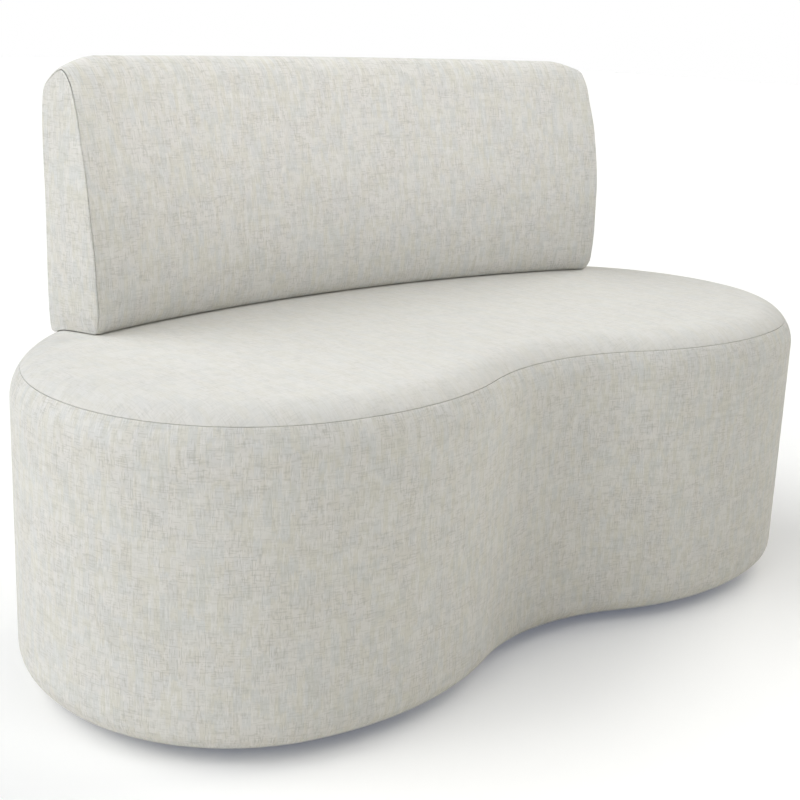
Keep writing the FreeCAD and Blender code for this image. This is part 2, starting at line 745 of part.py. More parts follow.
def make_back_frame(end):
    turn = end - math.degrees((ply + 2 * GAP) / foot_radius)
    screws = back_screws(end)
    holes = [screw_hole(*each) for each in screws]
    save("back_screws", Part.makeCompound([screw(*each) for each in screws]))
    rails = {"back_bottom_rail": (frame_foot, frame_foot + bottom_rail),
             "back_top_rail": (frame_top - top_rail, frame_top)}
    for name, (z0, z1) in rails.items():
        shape = rail(z0, z1, turn)
        for upright in upright_places():
            shape = shape.cut(upright_box(upright, 300, back_foot + frame_top - top_rail - GAP, GAP))
        save(name, cut_all(shape, holes))

    low, high = frame_foot, frame_top
    front = [(frame_front(low), low), (frame_front(high), high),
             (frame_front(high) + panel, high), (frame_front(low) + panel, low)]
    face = Part.Face(Part.makePolygon([back_point(d, z, end) for d, z in front + front[:1]]))
    save("back_front_panel", face.revolve(Vector(0, foot_centre_y, 0), UP, 2 * end))
    behind = frame_behind()
    last = rear_turn(REAR_RADIUS - behind, end) - math.degrees(GAP / REAR_RADIUS)
    save("back_rear_panel", arc_wall(behind, behind + panel, low, high, last))

    rib_low, rib_high = frame_foot + bottom_rail + GAP, frame_top - top_rail - GAP
    ribs = {"end_left": (-1, end, low, high), "inner_left": (-1, rib_angle, rib_low, rib_high),
            "inner_right": (1, rib_angle, rib_low, rib_high), "end_right": (1, end, low, high)}
    for name, (side, angle, z0, z1) in ribs.items():
        depth = frame_behind_depth(angle) - 1.5
        before = panel + 1.2
        quad = [(frame_front(z0) + before, z0), (depth, z0), (depth, z1), (frame_front(z1) + before, z1)]
        face = Part.Face(Part.makePolygon([back_point(d, z, side * angle) for d, z in quad + quad[:1]]))
        save("back_rib_" + name, cut_all(face.extrude(inwards(side, angle) * ply), holes))


def make_uprights(end):
    bolts, washers, nuts = [], [], []
    screw_holes = [screw_hole(*each) for each in back_screws(end)]
    for name, (x, y) in upright_places().items():
        centre = y + upright_depth / 2
        post = upright_box(name, upright_bottom, back_foot + frame_top - top_rail - 2 * GAP)
        rib_centre = {"left": -rib_x, "middle": 0.0, "right": rib_x}[name]
        towards = 1 if rib_centre > x + upright_width / 2 else -1
        head_face = x if towards > 0 else x + upright_width
        nut_face = rib_centre + towards * ply / 2
        across = Vector(towards, 0, 0)
        holes = []
        for z in bolt_heights:
            start = Vector(head_face - towards * 0.2, centre, z)
            shank = Part.makeCylinder(bolt_radius, abs(nut_face - head_face) + 14, start, across)
            head = Part.makeCylinder(9.0, 4.0, start - across * 4.0, across)
            bolts.append(shank.fuse(head).removeSplitter())
            holes.append(Part.makeCylinder(bolt_radius + 0.3, 60, start - across * 5, across))
            washers.append(washer(Vector(nut_face + towards * 0.2, centre, z), across, 9.0, 1.6))
            nuts.append(hex_nut(Vector(nut_face + towards * 2.0, centre, z), across))
        save("back_upright_" + name, cut_all(post, holes + screw_holes))
    save("upright_bolts", Part.makeCompound(bolts))
    save("upright_washers", Part.makeCompound(washers))
    save("upright_nuts", Part.makeCompound(nuts))


def washer(start, across, radius, length):
    outer = Part.makeCylinder(radius, length, start, across)
    return outer.cut(Part.makeCylinder(bolt_radius + 0.2, length + 2, start - across, across))


def hex_nut(start, across):
    solid = hexagon_face(start, Vector(0, 1, 0), UP).extrude(across * 6.5)
    return solid.cut(Part.makeCylinder(bolt_radius + 0.1, 10, start - across, across))


cover_end = half_angle - math.degrees((fabric + GAP) / foot_radius)
frame_end = cover_end - math.degrees((end_pad + 2 * GAP) / foot_radius)
make_base_covers()
make_padding()
make_base_frame()
make_webbing()
make_dust_cover()
make_staples()
make_glides()
make_back_covers(cover_end)
make_back_foam(cover_end, frame_end)
make_back_frame(frame_end)
make_uprights(frame_end)

print("pieces", len(pieces), "solids", sum(len(shape.Solids) for shape in pieces.values()))
for piece_name, piece_shape in pieces.items():
    piece_shape.exportStep("parts/" + piece_name + ".step")
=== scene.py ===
import json
import math

import bpy
from mathutils import Matrix, Vector

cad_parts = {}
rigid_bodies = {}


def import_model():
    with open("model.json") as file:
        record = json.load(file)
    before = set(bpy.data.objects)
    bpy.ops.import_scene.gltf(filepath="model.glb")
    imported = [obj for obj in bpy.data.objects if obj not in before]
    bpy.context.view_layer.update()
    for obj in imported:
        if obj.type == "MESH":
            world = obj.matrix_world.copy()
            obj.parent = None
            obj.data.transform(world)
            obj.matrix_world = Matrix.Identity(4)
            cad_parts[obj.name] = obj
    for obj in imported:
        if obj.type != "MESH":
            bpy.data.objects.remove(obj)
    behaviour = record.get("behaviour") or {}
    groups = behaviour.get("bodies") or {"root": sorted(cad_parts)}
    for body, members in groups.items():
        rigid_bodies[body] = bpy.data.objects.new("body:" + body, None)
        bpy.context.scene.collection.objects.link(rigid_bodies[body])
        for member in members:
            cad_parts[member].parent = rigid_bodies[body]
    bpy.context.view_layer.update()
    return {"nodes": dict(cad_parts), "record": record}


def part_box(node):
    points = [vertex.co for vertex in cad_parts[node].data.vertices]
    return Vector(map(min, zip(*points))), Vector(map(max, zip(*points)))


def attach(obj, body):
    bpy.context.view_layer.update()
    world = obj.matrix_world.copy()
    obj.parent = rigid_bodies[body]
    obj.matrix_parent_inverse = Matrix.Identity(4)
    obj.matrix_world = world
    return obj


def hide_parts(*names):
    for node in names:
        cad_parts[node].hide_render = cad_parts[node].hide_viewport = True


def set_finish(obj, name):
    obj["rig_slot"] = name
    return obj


bpy.ops.object.select_all(action="SELECT")
bpy.ops.object.delete()
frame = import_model()
bpy.context.scene.view_settings.view_transform = "Standard"

# The side band is one strip of cover fabric that runs round the bean-shaped base. It is sewn to the top
# panel half way up the edge rounding, wraps the foam on the wall, and is turned under the base plate and
# stapled there.
bay_radius, bay_turn = 0.332, 24.5
lobe_radii = (0.465, 0.271, 0.334)
lobe_angles = (-bay_turn, 15.5, 80.0, 142.0)    # of the tangent, where the bay and each arc of a lobe end
angle_slack = 0.5              # each arc answers for this many degrees more, so no place falls between two
cover_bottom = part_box("side_band_cover")[0].z
rim_height = 0.438
top_round, bottom_round = 0.060, 0.036
wall_top, wall_foot = rim_height - top_round, cover_bottom + bottom_round
hem_inset = 0.075
seam_angle = 39.0
cloth_thickness = 0.0012
edge_round, edge_steps = 0.0009, 4              # a sewn edge turns in on this radius
sewn_depth = 0.003
seam_gap = 0.0003
hem_steps, bottom_steps, wall_steps, top_steps = 5, 9, 36, 6
ring_spacing = 0.010
merge_distance = 0.0001


def spaced(start, end, steps):
    return [start + (end - start) * step / steps for step in range(steps + 1)]


def outward(angle):
    """Direction in plan that is square to the outline, where its tangent has this angle."""
    return Vector((math.sin(math.radians(angle)), -math.cos(math.radians(angle))))


def trace_outline():
    """Arcs of the right half, from the bay's middle to the rear: centre, signed radius, tangent angles."""
    point = Vector((0, 0))
    arcs = []
    for radius, start, end in zip((-bay_radius,) + lobe_radii, (0.0,) + lobe_angles[:-1], lobe_angles):
        centre = point - radius * outward(start)
        arcs.append((centre, radius, start, end))
        point = centre + radius * outward(end)
    rear_radius = point.x / outward(lobe_angles[-1]).x
    centre = point - rear_radius * outward(lobe_angles[-1])
    arcs.append((centre, rear_radius, lobe_angles[-1], 180.0))
    middle = (arcs[1][0].y - arcs[1][1] + centre.y + rear_radius) / 2
    return [(centre - Vector((0, middle)), radius, start, end) for centre, radius, start, end in arcs]


half_outline = trace_outline()
bay_front = half_outline[0][0].y + bay_radius


def place_on_outline(x, y):
    """Distance along the outline from the middle of the bay, and how far inside it the point lies."""
    along, found = 0.0, []
    for centre, radius, start, end in half_outline:
        across = Vector((abs(x), y)) - centre
        if radius < 0:
            across = -across
        angle = math.degrees(math.atan2(across.x, -across.y)) if across.length else start
        low, high = min(start, end), max(start, end)
        if low - angle_slack <= angle <= high + angle_slack:
            inset = radius - across.length if radius > 0 else across.length + radius
            found.append((abs(inset), along + math.radians(abs(angle - start)) * abs(radius), inset))
        along += math.radians(high - low) * abs(radius)
    return min(found)[1:] if found else (0.0, 0.0)


def sewn_edge(point, along, inward):
    """Points of a cloth's edge that runs along towards a seam at the point, and turns in beside it."""
    centre = point - (seam_gap / 2 + edge_round) * along + edge_round * inward
    turns = [math.radians(angle) for angle in spaced(0, 90, edge_steps)]
    edge = [centre + edge_round * (math.sin(turn) * along - math.cos(turn) * inward) for turn in turns]
    return edge + [edge[-1] + sewn_depth * inward]


def draw_profile(points):
    """Leaves a new mesh in edit mode: a line through points of inset and height in the middle of the bay."""
    bpy.ops.object.select_all(action="DESELECT")
    bpy.ops.mesh.primitive_plane_add(size=0.01, location=(0, 0, 0))
    bpy.ops.object.mode_set(mode="EDIT")
    bpy.ops.mesh.select_mode(type="VERT")
    bpy.ops.mesh.merge(type="CENTER")
    bpy.ops.transform.translate(value=(0, bay_front + points[0].x, points[0].y))
    for before, after in zip(points, points[1:]):
        step = after - before
        bpy.ops.mesh.extrude_vertices_move(TRANSFORM_OT_translate={"value": (0, step.x, step.y)})


def sweep_outline():
    """Spins the profile round every arc of the outline in turn, and closes the ring."""
    bpy.ops.mesh.select_all(action="SELECT")
    other_half = [(Vector((-centre.x, centre.y)), radius, 360.0 - end, 360.0 - start)
                  for centre, radius, start, end in reversed(half_outline)]
    for centre, radius, start, end in half_outline + other_half:
        turn = math.radians(end - start)
        bpy.ops.mesh.spin(steps=round(abs(radius * turn) / ring_spacing), angle=turn,
                          center=(centre.x, centre.y, 0), axis=(0, 0, -1))
    bpy.ops.mesh.select_all(action="SELECT")
    bpy.ops.mesh.remove_doubles(threshold=merge_distance)


def lay_weave(piece, place):
    """Stores where each corner lies on the flat cloth, in metres, for the weave to follow."""
    mesh = piece.data
    weave = mesh.uv_layers.new(name="weave")
    for face in mesh.polygons:
        side = -1 if face.center.x < 0 else 1
        for corner in face.loop_indices:
            weave.data[corner].uv = place(mesh.vertices[mesh.loops[corner].vertex_index].co, side)


def finish_cover(name):
    """Leaves edit mode with the new cover's faces turned outwards."""
    bpy.ops.mesh.select_all(action="SELECT")
    bpy.ops.mesh.normals_make_consistent(inside=False)
    bpy.ops.object.mode_set(mode="OBJECT")
    piece = bpy.context.object
    piece.name = name
    bpy.ops.object.shade_smooth()
    return piece


def pick(*pieces):
    """Selects these pieces and nothing else, with the first one active."""
    bpy.ops.object.select_all(action="DESELECT")
    for piece in pieces:
        piece.select_set(True)
    bpy.context.view_layer.objects.active = pieces[0]


def thicken(piece, thickness=cloth_thickness, offset=-1):
    """Gives a piece the thickness of its cloth, inwards unless the offset says otherwise."""
    pick(piece)
    bpy.ops.object.modifier_add(type="SOLIDIFY")
    piece.modifiers[-1].thickness = thickness
    piece.modifiers[-1].offset = offset
    bpy.ops.object.modifier_apply(modifier=piece.modifiers[-1].name)


def hand_over(piece, nodes):
    """Says what a finished cover rides on and which solids it stands for."""
    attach(piece, "sofa")
    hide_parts(*nodes)
    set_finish(piece, "cover_fabric")


def rounding(angle):
    """Point, direction upwards along it, and direction inwards, this far up the top edge rounding."""
    turn = math.radians(angle)
    upwards, inward = Vector((math.sin(turn), math.cos(turn))), Vector((math.cos(turn), -math.sin(turn)))
    return Vector((top_round, wall_top)) - top_round * inward, upwards, inward


band_profile = [Vector((inset, cover_bottom)) for inset in spaced(hem_inset, bottom_round, hem_steps)]
band_profile += [Vector((bottom_round - bottom_round * math.sin(turn),
                         wall_foot - bottom_round * math.cos(turn)))
                 for turn in spaced(0, math.pi / 2, bottom_steps)[1:]]
band_profile += [Vector((0, height)) for height in spaced(wall_foot, wall_top, wall_steps)[1:]]
band_profile += [rounding(angle)[0] for angle in spaced(0, seam_angle, top_steps)[1:-1]]
band_profile += sewn_edge(*rounding(seam_angle))


def band_weave(point, side):
    """Metres round the outline from the middle of the bay, and up the band, measured along the cloth."""
    along, inset = place_on_outline(point.x, point.y)
    if point.z > wall_top:
        up = wall_top + top_round * math.atan2(point.z - wall_top, top_round - inset)
    elif point.z < wall_foot:
        up = wall_foot - bottom_round * math.atan2(wall_foot - point.z, max(bottom_round - inset, 0))
        up -= max(inset - bottom_round, 0)
    else:
        up = point.z
    return side * along, up


draw_profile(band_profile)
sweep_outline()
side_band = finish_cover("side_band")
lay_weave(side_band, band_weave)
thicken(side_band)
hand_over(side_band, ["side_band_cover", "side_foam"])

# The top panel is cut to the bean's outline and sewn to the band. It lies over wadding and a foam block that
# rises slightly towards the middle, so the seat is gently crowned.
seat_crown, crown_inset = 0.004, 0.230
rim_steps, crown_steps = 9, 17
level_slack = 0.00001          # an edge that lies this near the crown's height is on the innermost ring
span = crown_inset - top_round
crown_radius = (span ** 2 + seat_crown ** 2) / (2 * seat_crown)


def crown_height(inset):
    """Height of the seat this far inside the outline."""
    reach = max(crown_inset - inset, 0)
    return rim_height + seat_crown - crown_radius + math.sqrt(crown_radius ** 2 - reach ** 2)


point, upwards, inward = rounding(seam_angle)
panel_profile = list(reversed(sewn_edge(point, -upwards, inward)))
panel_profile += [rounding(angle)[0] for angle in spaced(seam_angle, 90, rim_steps)[1:]]
panel_profile += [Vector((inset, crown_height(inset)))
                  for inset in spaced(top_round, crown_inset, crown_steps)[1:]]
draw_profile(panel_profile)
sweep_outline()
bpy.ops.mesh.select_all(action="DESELECT")
bpy.ops.object.mode_set(mode="OBJECT")
panel_mesh = bpy.context.object.data
for edge in panel_mesh.edges:
    ends = [panel_mesh.vertices[index].co for index in edge.vertices]
    edge.select = all(end.z > rim_height + seat_crown - level_slack for end in ends)
bpy.ops.object.mode_set(mode="EDIT")
bpy.ops.mesh.select_mode(type="EDGE")
bpy.ops.mesh.edge_face_add()
seat_panel = finish_cover("seat_top_panel")
lay_weave(seat_panel, lambda point, side: (point.x, point.y))
thicken(seat_panel)
hand_over(seat_panel, ["seat_top_cover", "seat_wadding", "seat_foam"])

# The back is a curved upholstered slab. Its front cover is one piece of cloth from under the foot, over the
# leaning front and the rounded top, to a seam on the rear face. It bulges where the foam is thickest, the
# ends swell outwards at the front, and the foot settles on the crowned seat.
foot_radius, foot_centre = 2.058, -1.919
half_angle = 13.7
end_thickness, middle_thickness = 0.092, 0.124
back_foot = 0.4428
back_height = 0.3502
end_droop, droop_start = 0.0154, 0.874
front_bulge, end_bulge = 0.012, 0.0084
crest_depth, crest_shift = 0.062, 0.0052        # where the top is highest, and how much nearer at an end
shoulder_drop, shoulder_lift = 0.038, 0.0112    # the rear seam below the top, and how much less at an end
crest_fall, end_fall = 0.011, 0.0037            # the rounding between them below the top, and more at an end
fall_share = 0.707             # of the way from the crest to the rear face, where that height is taken
hem = 0.016
corner_round = 0.006           # the ends meet the front on this radius, with the seam in the middle of it
corner_angles = (0, 15, 30, 45)                 # of the rings round that corner, the last one at the seam
line_steps = 24
front_count, rear_count = 64, 46
cover_spacing = 0.008
end_swell = ((-0.1, 0), (0, 0), (0.016, 0.0053), (0.072, 0.0087), (0.165, 0.0114), (0.235, 0.0102),
             (0.300, 0.0052), (0.332, 0.0012), (0.4, 0.0012))      # outwards, at these heights
swell_start = 0.8              # of the way from the middle of the back to its end
swell_depth, swell_loss = 0.09, 0.874           # this deep behind the front, this share of the swell is gone
settling = 0.050               # the foot of the back follows the crowned seat up to this height
seat_clearance = 0.0004


def back_thickness(angle):
    """Depth from the foot's arc to the arc of the rear face, which is fuller in the middle."""
    reach = foot_radius + end_thickness
    end = Vector((math.sin(math.radians(half_angle)), math.cos(math.radians(half_angle)))) * reach
    rise = foot_radius + middle_thickness - end.y
    rear_radius = (end.x ** 2 + rise ** 2) / (2 * rise)
    shift = foot_radius + middle_thickness - rear_radius
    turn = math.radians(angle)
    return shift * math.cos(turn) + math.sqrt(rear_radius ** 2 - (shift * math.sin(turn)) ** 2) - foot_radius


def smooth_line(corners):
    """Points on a smooth line through the corners, the same number from each corner to the next."""
    points = []
    ends = [2 * corners[0] - corners[1]] + corners + [2 * corners[-1] - corners[-2]]
    for p0, p1, p2, p3 in zip(ends, ends[1:], ends[2:], ends[3:]):
        t1 = (p1 - p0).length ** 0.5
        t2 = t1 + (p2 - p1).length ** 0.5
        t3 = t2 + (p3 - p2).length ** 0.5
        for share in spaced(0, 1, line_steps)[:-1]:
            t = t1 + (t2 - t1) * share
            a = p0 + (p1 - p0) * (t / t1)
            b = p1 + (p2 - p1) * ((t - t1) / (t2 - t1))
            c = p2 + (p3 - p2) * ((t - t2) / (t3 - t2))
            d = a + (b - a) * (t / t2)
            e = b + (c - b) * ((t - t1) / (t3 - t1))
            points.append(d + (e - d) * ((t - t1) / (t2 - t1)))
    return points + [corners[-1]]


def resample(points, count):
    """Points spaced evenly along the line, one more than the count."""
    lengths = [0.0]
    for before, after in zip(points, points[1:]):
        lengths.append(lengths[-1] + (after - before).length)
    result, index = [], 0
    for goal in spaced(0, lengths[-1], count):
        while index < len(points) - 2 and lengths[index + 1] < goal:
            index += 1
        share = (goal - lengths[index]) / max(lengths[index + 1] - lengths[index], 1e-9)
        result.append(points[index] + (points[index + 1] - points[index]) * share)
    return result


def section_corners(angle):
    """Corners of the back's section at this angle: depth behind the foot's arc, and height over the foot."""
    share = abs(angle) / half_angle
    near_end = max(0.0, (share - droop_start) / (1 - droop_start))
    top = back_height - end_droop * near_end ** 1.5
    lean = top / back_height
    swell = (front_bulge - end_bulge) * (1 - share ** 6)
    crest = crest_depth - crest_shift * near_end ** 2
    rear = back_thickness(angle)
    shoulder = (rear, top - shoulder_drop + shoulder_lift * near_end ** 2)
    fall = (crest + fall_share * (rear - crest), top - crest_fall - end_fall * near_end ** 2)
    front = [(0.006 + hem, 0), (0.006, 0), (0.0005, 0.002), (-0.0072, 0.016), (-end_bulge - swell, 0.072),
             (-0.0008 - 0.6 * swell, 0.165), (0.012, 0.235), (0.027, 0.300 * lean), (0.039, 0.332 * lean),
             (crest, top), fall, shoulder]
    back = [shoulder, (rear + 0.0015, 0.150), (rear, 0.014), (rear - 0.003, 0.004), (rear - 0.010, 0),
            (rear - 0.010 - hem, 0)]
    return [Vector(corner) for corner in front], [Vector(corner) for corner in back]


def section_lines(angle):
    """One smooth line round the section, cut at the seam into the front cover's part and the rear cover's."""
    front, back = section_corners(angle)
    line = smooth_line(front + back[1:])
    cut = line_steps * (len(front) - 1)
    return line[:cut + 1], line[cut:]


def drawn_in(points, depth):
    """The same line moved into the back by this depth, square to itself."""
    moved = []
    for index, point in enumerate(points):
        along = points[min(index + 1, len(points) - 1)] - points[max(index - 1, 0)]
        along.normalize()
        moved.append(point + depth * Vector((along.y, -along.x)))
    return moved


def front_section(angle, depth=0.0):
    """The front cover's line, from its hem under the foot to its sewn edge on the rear face."""
    line = drawn_in(resample(section_lines(angle)[0], front_count), depth)
    along = (line[-1] - line[-2]).normalized()
    return line[:-1] + sewn_edge(line[-1], along, Vector((along.y, -along.x)))


def rear_section(angle, depth=0.0):
    """The rear cover's line, from its sewn edge at the shoulder to its hem under the foot."""
    line = drawn_in(resample(section_lines(angle)[1], rear_count), depth)
    along = (line[1] - line[0]).normalized()
    return list(reversed(sewn_edge(line[0], -along, Vector((along.y, -along.x))))) + line[1:]


def end_rings():
    """How far inside the end and how deep under the surface the rings lie that round off a cover's end."""
    turns = [math.radians(angle) for angle in corner_angles]
    arc = [(corner_round * (1 - math.sin(turn)), corner_round * (1 - math.cos(turn))) for turn in turns]
    across, down = math.cos(turns[-1]), math.sin(turns[-1])
    edge = sewn_edge(Vector(arc[-1]), Vector((-across, down)), Vector((down, across)))
    return arc[:-1] + [tuple(point) for point in edge]


def cover_rings():
    """Angle and depth of every ring of a cover, from the left end of the back to the right."""
    inner = half_angle - math.degrees(corner_round / foot_radius)
    count = round(2 * math.radians(inner) * foot_radius / cover_spacing)
    left = [(-half_angle + math.degrees(inside / foot_radius), depth)
            for inside, depth in reversed(end_rings()[1:])]
    right = [(-angle, depth) for angle, depth in reversed(left)]
    return left + [(angle, 0.0) for angle in spaced(-inner, inner, count)] + right


def swell_at(height):
    """How far the front edge of an end swells outwards at this height."""
    for (low, first), (high, last) in zip(end_swell, end_swell[1:]):
        if height <= high:
            share = (height - low) / (high - low)
            return first + (last - first) * share * share * (3 - 2 * share)
    return end_swell[-1][1]


def back_point(depth, height, angle):
    """A point of the back. Its ends swell outwards at the front, and its foot settles on the crowned seat."""
    turn, end = math.radians(angle), math.radians(half_angle)
    reach = foot_radius + depth
    point = Vector((reach * math.sin(turn), foot_centre + reach * math.cos(turn), back_foot + height))
    near_end = max(0.0, (abs(angle) / half_angle - swell_start) / (1 - swell_start))
    forward = 1 - swell_loss * min(max(depth / swell_depth, 0.0), 1.0)
    swell = swell_at(height) * near_end ** 2 * forward
    point += swell * Vector((math.copysign(math.cos(end), angle), -math.sin(end), 0))
    inset = place_on_outline(point.x, point.y)[1]
    if inset > top_round:
        seat = crown_height(inset)
    else:
        seat = wall_top + math.sqrt(top_round ** 2 - (top_round - inset) ** 2)
    point.z -= (back_foot - seat - seat_clearance) * max(0.0, 1 - height / settling) ** 2
    return point


def sweep_back(section):
    """Spins the middle section round the back, then sets every ring to its own section."""
    rings = cover_rings()
    line = section(0)
    draw_profile(line)
    bpy.ops.mesh.select_all(action="SELECT")
    step = math.radians(2 * half_angle / (len(rings) - 1))
    bpy.ops.transform.translate(value=(0, foot_radius + foot_centre - bay_front, back_foot))
    bpy.ops.mesh.spin(steps=len(rings) - 1, angle=step * (len(rings) - 1),
                      center=(0, foot_centre, 0), axis=(0, 0, 1))
    bpy.ops.object.mode_set(mode="OBJECT")
    mesh = bpy.context.object.data
    sections = [section(angle, depth) for angle, depth in rings]
    for vertex in mesh.vertices:
        flat = Vector((vertex.co.x, vertex.co.y - foot_centre))
        ring = round(math.atan2(flat.x, flat.y) / step)
        place = Vector((flat.length - foot_radius, vertex.co.z - back_foot))
        index = min(range(len(line)), key=lambda k: (line[k] - place).length_squared)
        depth, height = sections[ring][index]
        vertex.co = back_point(depth, height, rings[ring][0])
    bpy.ops.object.mode_set(mode="EDIT")


def back_weave(point, side):
    """Metres round the back from its middle, and height: one cloth for both sides."""
    flat = Vector((point.x, point.y - foot_centre))
    return math.atan2(flat.x, flat.y) * foot_radius, point.z


sweep_back(front_section)
back_front = finish_cover("back_front")
lay_weave(back_front, back_weave)
thicken(back_front)
hand_over(back_front, ["back_front_cover", "back_front_foam"])

# The rear cover is a second piece of the same cloth. It closes the back from the seam near its top down to
# the hem that is turned under the foot.
rear_cloth_start = 0.7         # cut from another part of the cloth, so the weave doesn't run on over the seam
sweep_back(rear_section)
back_rear = finish_cover("back_rear")
lay_weave(back_rear, lambda point, side: (back_weave(point, side)[0] + rear_cloth_start, point.z))
thicken(back_rear)
hand_over(back_rear, ["back_rear_cover", "back_rear_foam"])

# Each end of the back has a narrow panel of its own, cut from the same cloth. It is sewn in all round, a
# little puffed by the foam behind it, and its lower edge stands on the seat.
end_puff = 0.0015
panel_rows, panel_columns = 56, 10
outline_steps = 900
panel_border = 0.004           # between the grid in the middle of the panel and the first ring round it
foot_reach, foot_share = 0.015, 0.75            # this low down, that share of a ring's depth is given back
crest_half = 0.021             # the panel's short upper side reaches this far each way from the highest point
end_cloth_start = 3            # cut from another part of the cloth for each end


def end_outline(depth):
    """The end's line drawn in by this depth, as four sides: front, top, rear and under."""
    front, rear = section_lines(half_angle)
    line = resample(front[line_steps:] + rear[1:-line_steps], outline_steps)
    line = [point for point in drawn_in(line, depth) if point.y >= depth]
    peak = max(range(len(line)), key=lambda index: line[index].y)
    before = max(index for index in range(peak) if (line[index] - line[peak]).length > crest_half)
    after = min(index for index in range(peak, len(line)) if (line[index] - line[peak]).length > crest_half)
    return (resample(line[:before + 1], panel_rows), resample(line[before:after + 1], panel_columns),
            list(reversed(resample(line[after:], panel_rows))), spaced(line[0], line[-1], panel_columns))


def within(sides, across, up):
    """A point inside the four sides, or on one of them, from its column and row."""
    front, top, rear, under = sides
    u, v = across / panel_columns, up / panel_rows
    level = front[up] * (1 - u) + rear[up] * u
    upright = under[across] * (1 - v) + top[across] * v
    corners = (under[0] * (1 - u) + under[-1] * u) * (1 - v) + (top[0] * (1 - u) + top[-1] * u) * v
    return level + upright - corners


def end_panel(name, side):
    """Draws one end as a grid, and works its border outwards ring by ring, round the edge into the seam."""
    rings = [(0, corner_round + panel_border)] + [(depth, inside) for inside, depth in end_rings()]
    bpy.ops.object.select_all(action="DESELECT")
    bpy.ops.mesh.primitive_grid_add(x_subdivisions=panel_columns, y_subdivisions=panel_rows, size=1)
    bpy.ops.object.mode_set(mode="EDIT")
    bpy.ops.mesh.select_mode(type="EDGE")
    bpy.ops.mesh.select_all(action="DESELECT")
    bpy.ops.mesh.select_non_manifold()
    for _ in rings[1:]:
        bpy.ops.mesh.extrude_edges_move(TRANSFORM_OT_translate={"value": (0, 0, 1)})
    bpy.ops.object.mode_set(mode="OBJECT")
    outlines = [end_outline(max(depth, 0.0)) for inside, depth in rings]
    for vertex in bpy.context.object.data.vertices:
        ring = round(vertex.co.z)
        u, v = vertex.co.x + 0.5, vertex.co.y + 0.5
        inside, depth = rings[ring]
        place = within(outlines[ring], round(u * panel_columns), round(v * panel_rows))
        place.y -= foot_share * depth * max(0.0, 1 - (place.y - depth) / foot_reach)
        angle = half_angle - math.degrees(inside / foot_radius)
        vertex.co = back_point(place.x, place.y, side * angle)
        if ring == 0:
            end = math.radians(half_angle)
            puff = end_puff * (1 - (2 * u - 1) ** 4) * (1 - (2 * v - 1) ** 8)
            vertex.co += puff * Vector((side * math.cos(end), -math.sin(end), 0))
    bpy.ops.object.mode_set(mode="EDIT")
    return finish_cover(name)


def end_weave(point, side):
    """Metres across the end panel, and height."""
    return Vector((point.x, point.y - foot_centre)).length + side * end_cloth_start, point.z


for side, word in ((-1, "left"), (1, "right")):
    panel = end_panel("back_end_panel_" + word, side)
    lay_weave(panel, end_weave)
    thicken(panel)
    hand_over(panel, ["back_end_cover_" + word, "back_end_foam_" + word])


# The cover fabric is an undyed slub weave: pale threads with now and then a thicker grey-green, beige or
# blue-grey one, both ways, that together make a soft mottle of upright and level bars.
threads_per_metre = 830.0
pale, beige, blush = (0.790, 0.780, 0.745, 1), (0.700, 0.678, 0.570, 1), (0.770, 0.735, 0.715, 1)
blue_grey, grey_green = (0.650, 0.680, 0.695, 1), (0.450, 0.450, 0.395, 1)
bleached, hollow = (0.90, 0.89, 0.87, 1), (0.64, 0.63, 0.59, 1)
uneven = 0.16                  # how far the bars' ends differ from thread to thread
bundle_apart, thread_apart, light_apart = 3.7, 5.3, 7.1     # steps in the noise, so that neighbours differ
# Painted light: the seat's cloth is a calmer copy of the same cloth, with its mottle at this lower share. It
# stands for the glare on the brightly lit top of the seat.
seat_glare_contrast = 0.45           # the seat's cloth shows its mottle less than the sides


class Flow:
    """A value in a material. Arithmetic on it adds Math nodes."""

    def __init__(self, material, socket=None):
        self.material, self.socket = material, socket

    def node(self, kind, settings=(), inputs=(), output=0):
        made = self.material.node_tree.nodes.new(kind)
        for name, value in dict(settings).items():
            setattr(made, name, value)
        for name, value in dict(inputs).items():
            if isinstance(value, Flow):
                self.material.node_tree.links.new(value.socket, made.inputs[name])
            else:
                made.inputs[name].default_value = value
        return Flow(self.material, made.outputs[output])

    def math(self, operation, first, second=0.0, clamp=False):
        settings = {"operation": operation, "use_clamp": clamp}
        return self.node("ShaderNodeMath", settings, {0: first, 1: second})

    def __add__(self, other):
        return self.math("ADD", self, other)

    def __sub__(self, other):
        return self.math("SUBTRACT", self, other)

    def __mul__(self, other):
        return self.math("MULTIPLY", self, other)

    def __rsub__(self, other):
        return self.math("SUBTRACT", other, self)

    def __abs__(self):
        return self.math("ABSOLUTE", self)

    __radd__ = __add__
    __rmul__ = __mul__


def new_finish(name):
    """A material with a shader of its own, and a flow to start building from."""
    material = bpy.data.materials.new(name)
    material.use_nodes = True
    return material, material.node_tree.nodes["Principled BSDF"], Flow(material)


def connect(shader, name, flow):
    flow.material.node_tree.links.new(flow.socket, shader.inputs[name])


def emboss(shader, height, strength, distance):
    """Raises the surface by a pattern: so many metres where it is 1."""
    inputs = {"Height": height, "Strength": strength, "Distance": distance}
    connect(shader, "Normal", height.node("ShaderNodeBump", {}, inputs))


def blend_colour(share, under, over):
    return share.node("ShaderNodeMix", {"data_type": "RGBA"}, {0: share, 6: under, 7: over}, output=2)


def along_axis(vector, axis):
    return vector.node("ShaderNodeSeparateXYZ", {}, {"Vector": vector}, output=axis)


def ramp(value, low, high):
    """0 below low, 1 above high, and a smooth rise between."""
    return value.node("ShaderNodeMapRange", {"interpolation_type": "SMOOTHSTEP"},
                      {"Value": value, "From Min": low, "From Max": high})


def ridges(place, apart):
    """Rounded ridges this far apart, 0 in the grooves and 1 on top."""
    return abs(place.math("SINE", place * (math.pi / apart)))


def bundle(place, per_metre):
    """A number that stays the same across a thread, or a bundle of threads, and is one more at the next."""
    return place.math("FLOOR", place * per_metre)


